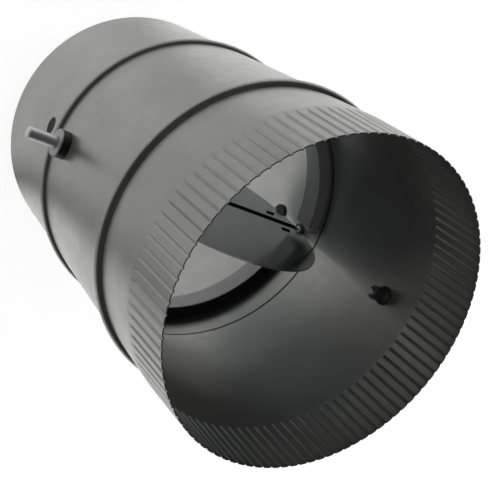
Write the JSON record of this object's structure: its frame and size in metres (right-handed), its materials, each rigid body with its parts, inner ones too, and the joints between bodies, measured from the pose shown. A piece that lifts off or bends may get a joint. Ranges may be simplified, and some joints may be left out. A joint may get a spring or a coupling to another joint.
{
  "type": "modulating duct damper",
  "caption": "Round sheet-metal duct section with a plain end, a crimped end, rolled beads and a disc blade that a control shaft turns against half-ring stops.",
  "frame": {"origin": "centre of the plain end, in the plane of its rim", "axes": "+Z along the duct axis towards the crimped end, +X along the control shaft towards its driven end"},
  "size_m": [0.2386, 0.2102, 0.309],
  "materials": {
    "galvanised_sheet": "satin galvanised",
    "stop_sheet": "satin galvanised",
    "blade_sheet": "smooth galvanised",
    "shaft_plate": "bright zinc plate",
    "dark_steel": "dark phosphate",
    "bush_plastic": "black moulded",
    "washer_plate": "dull zinc plate",
    "seal_rubber": "matt dark",
    "button_rubber": "matt dark grey",
    "plug_rubber": "matt black",
    "screw_plate": "zinc plate"
  },
  "bodies": {
    "casing": {"casing_body": "galvanised_sheet", "crimped_collar": "galvanised_sheet", "lower_stop": "stop_sheet", "upper_stop": "stop_sheet", "lower_seal": "seal_rubber", "upper_seal": "seal_rubber", "drive_bush": "bush_plastic", "drive_washer": "washer_plate", "tail_bush": "bush_plastic", "tail_washer": "washer_plate", "hole_buttons": "button_rubber", "wall_plug": "plug_rubber", "plug_screw": "screw_plate"},
    "blade_and_shaft": {"blade": "blade_sheet", "shaft": "shaft_plate", "blade_straps": "dark_steel"}
  },
  "joints": [
    {"name": "blade_turn", "type": "hinge", "parent": "casing", "child": "blade_and_shaft", "pos_m": [0, 0, 0.124], "axis": [1, 0, 0], "range_deg": [-83.3, 6.7]}
  ]
}
